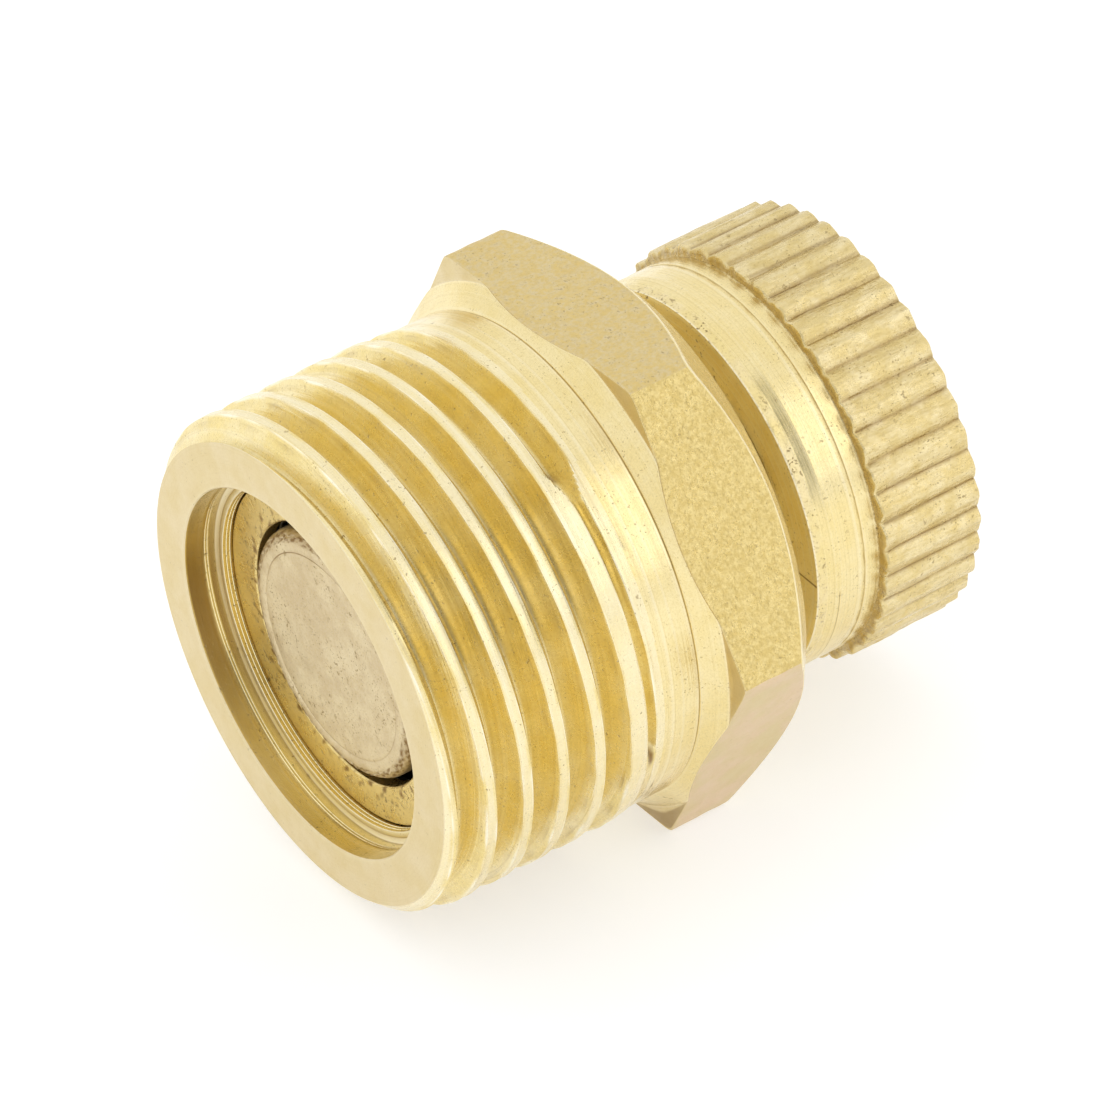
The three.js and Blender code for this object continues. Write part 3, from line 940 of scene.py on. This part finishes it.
def cartridge_pin():
    start, end = span("cartridge_pin")
    head = reach("cartridge_pin")
    clip_start, clip_end = span("retaining_clip")
    shaft, groove, swivel = 0.9, 0.7, 1.15
    swivel_start = end - 0.6
    skin = Skin(even(120))
    last = skin.ring(start, 0.1)
    skin.cap(last, start, at_start=True)
    points = [
        (start, 0.5),
        (start + 0.04, head - 0.3),
        (start + 0.15, head - 0.08),
        (start + 0.28, head),
        (start + 0.46, head),
        (start + 0.5, head - 0.04),
        (start + 0.5, shaft),
        *((x, shaft) for x in steps(start + 0.5, clip_start - 0.05, 8)),
        (clip_start - 0.05, groove),
        (clip_end + 0.05, groove),
        (clip_end + 0.05, shaft),
        (swivel_start, shaft),
        (swivel_start, swivel - 0.04),
        (swivel_start + 0.04, swivel),
        (end - 0.2, swivel),
        (end - 0.05, swivel - 0.15),
        (end, swivel - 0.4),
    ]
    last = skin.outline(last, points)
    skin.cap(last, end)
    piece = skin.build("pin_brass", [TURNED])
    return finish_piece(piece, "cartridge_pin", "disc_cartridge")


def retaining_clip():
    """A stamped E-clip: three lugs bear on the pin, with an open mouth."""
    start, end = span("retaining_clip")
    outer = reach("retaining_clip")
    half_mouth = math.pi / 6
    count = 96
    sweep = np.linspace(half_mouth, 2 * math.pi - half_mouth, count)
    lugs = 0.78 + 0.32 * (1 - np.abs(np.cos(1.5 * (sweep - math.pi))) ** 6)
    lugs[:6] = lugs[-6:] = 0.78
    points = []
    for x, shrink in ((start, 0.04), (start + 0.04, 0), (end - 0.04, 0), (end, 0.04)):
        for radius in (lugs + shrink, np.full(count, outer - shrink)):
            points.append(np.stack([np.full(count, x), radius * np.cos(sweep), radius * np.sin(sweep)], 1))
    rows = [0, 2, 4, 6, 7, 5, 3, 1]
    loops = np.array([[row * count + i for row in rows] for i in range(count)])
    faces = []
    for first, second in zip(loops, loops[1:]):
        for k in range(len(rows)):
            after = (k + 1) % len(rows)
            faces.append((first[k], second[k], second[after], first[after]))
    faces += [tuple(loops[0]), tuple(loops[-1][::-1])]
    mesh = bpy.data.meshes.new("e_clip")
    places = np.concatenate(points) * MM + [START, 0, AXIS_HEIGHT]
    mesh.from_pydata(places.tolist(), [], [tuple(int(i) for i in f) for f in faces])
    mesh.materials.append(STEEL)
    mesh.shade_smooth()
    mesh.set_sharp_from_angle(angle=math.radians(35))
    piece = bpy.data.objects.new("e_clip", mesh)
    bpy.context.scene.collection.objects.link(piece)
    return finish_piece(piece, "retaining_clip", "disc_cartridge")


# ---- knob ----


def knurl(x, angle):
    """Radius and shading of the rolled knurl: straight ridges, each with two flats and an uneven crown, with
    a painted highlight on the crowns and painted shade in the valleys and on one side.
    """
    drift = 0.03 * ripple(angle, x, 51, (1, 3), (0.02, 0.08))
    drift = drift + 0.02 * ripple(angle, x, 52, (30, 60), (0.1, 0.4))
    position = angle * KNURL_TEETH / (2 * math.pi) + drift
    tooth = np.floor(position)
    part = position - tooth
    number = tooth.astype(int) % KNURL_TEETH
    rng = np.random.default_rng(53)
    peak = rng.uniform(0.38, 0.62, KNURL_TEETH)[number]
    crown = rng.uniform(0.78, 0.95, KNURL_TEETH)[number]
    crown = crown + 0.05 * ripple(angle, x, 54, (40, 90), (0.2, 0.7))
    slope = np.where(part < peak, part / peak, (1 - part) / (1 - peak))
    ridge = np.minimum(slope**0.8, crown)
    chatter = 0.006 * ripple(angle, x, 55, (60, 120), (0.1, 0.4))
    chatter = chatter + 0.004 * ripple(angle, x, 56, (120, 200), (0.6, 1.8))
    radius = KNURL_TIP - KNURL_DEPTH * (1 - ridge) + chatter
    notch = np.exp(-((np.minimum(part, 1 - part) / 0.10) ** 2))
    shaded = np.where(part < peak, 0.0, 0.16)  # painted shade on one side of each ridge
    # painted highlight on the crowns, painted shade in the valleys and on one side
    marks_and_shading = 0.7 * np.clip(ridge - 0.65, 0, 1) - 0.42 * notch - shaded * (ridge < 0.75)
    return radius, marks_and_shading


def skirt_profile(angles):
    """The pitted rim, the bevel and the plain skirt, with a small groove behind the bevel darkened by a
    painted dark reflection, and a few tool marks.
    """
    rim = []
    for x in steps(KNOB_FRONT + 0.06, BEVEL_START, 7):
        rim.append((x, FRONT_RADIUS + 0.012 * ripple(angles, x, 61, (14, 60), (0.5, 2.0))))
    slope = (SKIRT_RADIUS - FRONT_RADIUS) / (BEVEL_END - BEVEL_START)
    bevel = [(x, FRONT_RADIUS + slope * (x - BEVEL_START)) for x in steps(BEVEL_START, BEVEL_END, 5)]
    # a small groove just behind the bevel over part of the round, darkened as a painted dark reflection
    dark_reflection_arc = np.clip((angles - math.radians(187)) / 0.02, 0, 1) * (angles < math.radians(300))
    skirt = [
        (BEVEL_END + 0.03, SKIRT_RADIUS),
        (BEVEL_END + 0.05, SKIRT_RADIUS - 0.02 * dark_reflection_arc, -0.8 * dark_reflection_arc),
        (BEVEL_END + 0.07, SKIRT_RADIUS),
        *((x, SKIRT_RADIUS + 0.003 * np.sin(9 * x)) for x in steps(BEVEL_END + 0.07, 16.60, 9)),
        (16.625, SKIRT_RADIUS - 0.02, -0.6),
        (16.65, SKIRT_RADIUS + 0.005, 0.35),
        *((x, SKIRT_RADIUS + 0.01) for x in steps(16.65, KNURL_START - 0.06, 5)),
    ]
    return rim, bevel, skirt


def knob():
    angles = even(KNOB_COLUMNS)
    skin = Skin(angles)
    skirt_slot, knurl_slot, faced, inner, brightened_gap, rimmed = range(6)

    cut = -0.9 * (np.abs(angles - math.radians(183)) < 0.005)  # a saw mark across the front face
    front = skin.ring(KNOB_FRONT + 0.02, KNOB_BORE - 0.02)
    face = [(KNOB_FRONT, r, cut) for r in steps(KNOB_BORE + 0.02, FRONT_RADIUS - 0.05, 9)]
    last = skin.outline(front, face, brightened_gap)
    # painted highlight on the rounded front edge
    last = skin.outline(last, [(KNOB_FRONT + 0.015, FRONT_RADIUS - 0.012, 0.7)], brightened_gap)
    last = skin.outline(last, [(KNOB_FRONT + 0.06, FRONT_RADIUS, 0.3)], rimmed)
    rim, bevel, skirt = skirt_profile(angles)
    last = skin.outline(last, rim, rimmed)
    last = skin.outline(last, [*bevel, *skirt], skirt_slot)

    burr = 0.035 * ripple(angles, 0, 62, (20, 90)) + 0.02 * ripple(angles, 0, 63, (90, 160))
    start_radius, _ = knurl(np.full(KNOB_COLUMNS, KNURL_START + 0.05), angles)
    # painted shadow on the shoulder in front of the knurl
    shoulder = [
        (KNURL_START - 0.02 + 0.3 * burr, SKIRT_RADIUS + 0.02, -0.3),
        (KNURL_START - 0.01 + 0.7 * burr, 0.5 * (SKIRT_RADIUS + start_radius), -0.45),
        (KNURL_START + 0.02 + burr, start_radius - 0.03, -0.1),
        (KNURL_START + 0.06 + burr, start_radius, 0.2),
    ]
    last = skin.outline(last, shoulder, knurl_slot)
    grip_start, grip_end = KNURL_START + 0.06, KNOB_END - 0.07
    rows = []
    for t in steps(0, 1, 56):
        x = grip_start + burr * (1 - t) + (grip_end - grip_start) * t
        rows.append((x, *knurl(x, angles)))
    last = skin.outline(last, rows, knurl_slot)
    tip = rows[-1][1]
    # painted highlight on the knurl's back edge
    last = skin.outline(last, [(KNOB_END - 0.02, tip - 0.06, 0.4), (KNOB_END, tip - 0.12)], knurl_slot)
    end_face = [(KNOB_END, r) for r in steps(6.8, 0.5, 14)]
    last = skin.outline(last, [*end_face, (KNOB_END - 0.05, 0.35), (KNOB_END - 0.15, 0.15)], faced)
    skin.cap(last, KNOB_END - 0.18, faced)

    socket_end, socket = KNOB_END - 1.8, 1.35
    boss, boss_start = 2.6, 17.6
    last = skin.ring(socket_end, 0.4)
    skin.cap(last, socket_end + 0.1, inner, at_start=True)
    within = [
        (socket_end, socket - 0.1),
        (socket_end - 0.1, socket),
        (boss_start + 0.05, socket),
        (boss_start, socket + 0.05),
        (boss_start, boss - 0.05),
        (boss_start + 0.05, boss),
        *((x, boss) for x in steps(boss_start + 0.05, KNOB_BORE_END - 0.1, 4)),
        (KNOB_BORE_END, boss + 0.1),
        (KNOB_BORE_END, KNOB_BORE - 0.1),
        (KNOB_BORE_END - 0.1, KNOB_BORE),
        (18.0, KNOB_BORE),
    ]
    last = skin.outline(last, within, inner)

    def bore_thread(x, angle):
        turn = x / NECK_PITCH - angle / (2 * math.pi)
        slope = np.abs(turn - np.round(turn)) * 2
        return BORE_CREST + (KNOB_BORE - BORE_CREST) * (1 - slope), np.zeros_like(x)

    thread_stop = KNOB_FRONT + 0.08
    mouth = skin.ring(thread_stop, BORE_CREST)
    inward = Skin(angles)
    inward.count = skin.count
    inward.helix(mouth, last, (thread_stop, 18.0), NECK_PITCH, np.arange(8) / 8, bore_thread, inner)
    skin.points += inward.points
    skin.marks_and_shading += inward.marks_and_shading
    skin.count = inward.count
    skin.faces += [face[::-1] for face in inward.faces]
    skin.slots += inward.slots
    skin.band(mouth, front, brightened_gap)
    finishes = [TURNED, KNURLED, FACED, BORED, BRIGHTENED_GAP_BRASS, RIMMED]
    piece = skin.build("knob_brass", finishes, sharp=40, shift=KNOB_PLAY)
    return finish_piece(piece, "knob", "knob_assembly")


def cap_gasket():
    start, end = span("cap_gasket")
    piece = round_plate("gasket_rubber", start, end, 4.2, reach("cap_gasket"), RUBBER, 0.1)
    return finish_piece(piece, "cap_gasket", "knob_assembly")


def pin_swivel_ring():
    start, end = span("pin_swivel_ring")
    piece = round_plate("swivel_ring_steel", start, end, 1.0, reach("pin_swivel_ring"), STEEL, 0.04, 96)
    return finish_piece(piece, "pin_swivel_ring", "knob_assembly")


# ---- studio ----

TENT_LEVEL = 1.04
SLIT_LEVEL = 0.35
SLIT_HEADING = 197  # degrees, 0 along +Y and 90 along +X
SLIT_HALF_WIDTH = 18


def camera():
    """The photograph's view: a long lens from above, a little rolled."""
    azimuth, elevation, roll = (math.radians(a) for a in (-31.925, 36.877, -5.838))
    aim = Vector((-0.789, 0.272, 8.251)) * MM
    distance = 229.43 * MM
    level = math.cos(elevation)
    back = Vector((math.sin(azimuth) * level, -math.cos(azimuth) * level, math.sin(elevation)))
    data = bpy.data.cameras.new("camera")
    data.sensor_width = 36
    data.lens = 241.74
    data.clip_start = 0.01
    data.clip_end = 10
    made = bpy.data.objects.new("camera", data)
    turn = (-back).to_track_quat("-Z", "Y").to_matrix() @ Matrix.Rotation(roll, 3, "Z")
    made.matrix_world = Matrix.Translation(aim + back * distance) @ turn.to_4x4()
    bpy.context.scene.collection.objects.link(made)
    bpy.context.scene.camera = made


def floor():
    bpy.ops.mesh.primitive_plane_add(size=1.2, location=(0, 0, -0.00002))
    plane = bpy.context.object
    plane.name = "floor"
    g = Graph("white paper sweep")
    g.shader.inputs["Base Color"].default_value = (0.60, 0.60, 0.60, 1)
    g.shader.inputs["Roughness"].default_value = 0.9
    g.shader.inputs["Emission Color"].default_value = (1.0, 1.0, 1.0, 1)
    g.shader.inputs["Emission Strength"].default_value = 0.54
    plane.data.materials.append(g.material)


def softbox(name, heading, elevation, size, power, distance=0.35):
    """An area light aimed at the vent from a compass heading, 0 along +Y and 90 along +X."""
    heading, elevation = math.radians(heading), math.radians(elevation)
    level = math.cos(elevation)
    towards = Vector((math.sin(heading) * level, math.cos(heading) * level, math.sin(elevation)))
    data = bpy.data.lights.new(name, "AREA")
    data.shape = "RECTANGLE"
    data.size, data.size_y = size
    data.energy = power
    lamp = bpy.data.objects.new(name, data)
    lamp.matrix_world = Matrix.Translation(
        towards * distance + Vector((0, 0, AXIS_HEIGHT))
    ) @ towards.to_track_quat("Z", "Y").to_matrix().to_4x4()
    bpy.context.scene.collection.objects.link(lamp)


def surroundings():
    """A white tent with one dark upright opening on the camera's side."""
    world = bpy.data.worlds.new("tent")
    bpy.context.scene.world = world
    world.use_nodes = True
    nodes, links = world.node_tree.nodes, world.node_tree.links

    def calculate(operation, *values):
        made = nodes.new("ShaderNodeMath")
        made.operation = operation
        for socket, value in zip(made.inputs, values):
            if isinstance(value, bpy.types.NodeSocket):
                links.new(value, socket)
            else:
                socket.default_value = value
        return made.outputs[0]

    def soft_step(value, low, high):
        made = nodes.new("ShaderNodeMapRange")
        made.interpolation_type = "SMOOTHSTEP"
        links.new(value, made.inputs[0])
        made.inputs[1].default_value = low
        made.inputs[2].default_value = high
        return made.outputs[0]

    parts = nodes.new("ShaderNodeSeparateXYZ")
    links.new(nodes.new("ShaderNodeTexCoord").outputs["Generated"], parts.inputs[0])
    east, north, up = parts.outputs
    heading = calculate("ARCTAN2", calculate("MULTIPLY", east, -1.0), calculate("MULTIPLY", north, -1.0))
    off_middle = calculate("ABSOLUTE", calculate("SUBTRACT", heading, math.radians(SLIT_HEADING - 180)))
    across = soft_step(off_middle, math.radians(SLIT_HALF_WIDTH + 4), math.radians(SLIT_HALF_WIDTH - 4))
    height = calculate("MULTIPLY", soft_step(up, 0.10, 0.25), soft_step(up, 0.98, 0.93))
    slit = calculate("MULTIPLY", across, height)
    level = calculate("SUBTRACT", TENT_LEVEL, calculate("MULTIPLY", slit, TENT_LEVEL - SLIT_LEVEL))
    background = nodes["Background"]
    background.inputs["Color"].default_value = (1.0, 0.995, 0.985, 1)
    links.new(level, background.inputs["Strength"])


camera()
surroundings()
floor()
softbox("window", 147, 33, (0.14, 0.28), 0.065)

body()
inlet_ring()
check_plunger()
torus("seal_rubber", "plunger_seal", "check_valve", RUBBER)
spring_wire()
cartridge_pin()
ported_washer("lower_washer_brass", "lower_washer")
for number in range(1, 9):
    fibre_disc(number)
ported_washer("upper_washer_brass", "upper_washer")
retaining_clip()
knob()
cap_gasket()
pin_swivel_ring()

bpy.context.scene.view_settings.view_transform = "Standard"
bpy.context.scene.view_settings.look = "None"
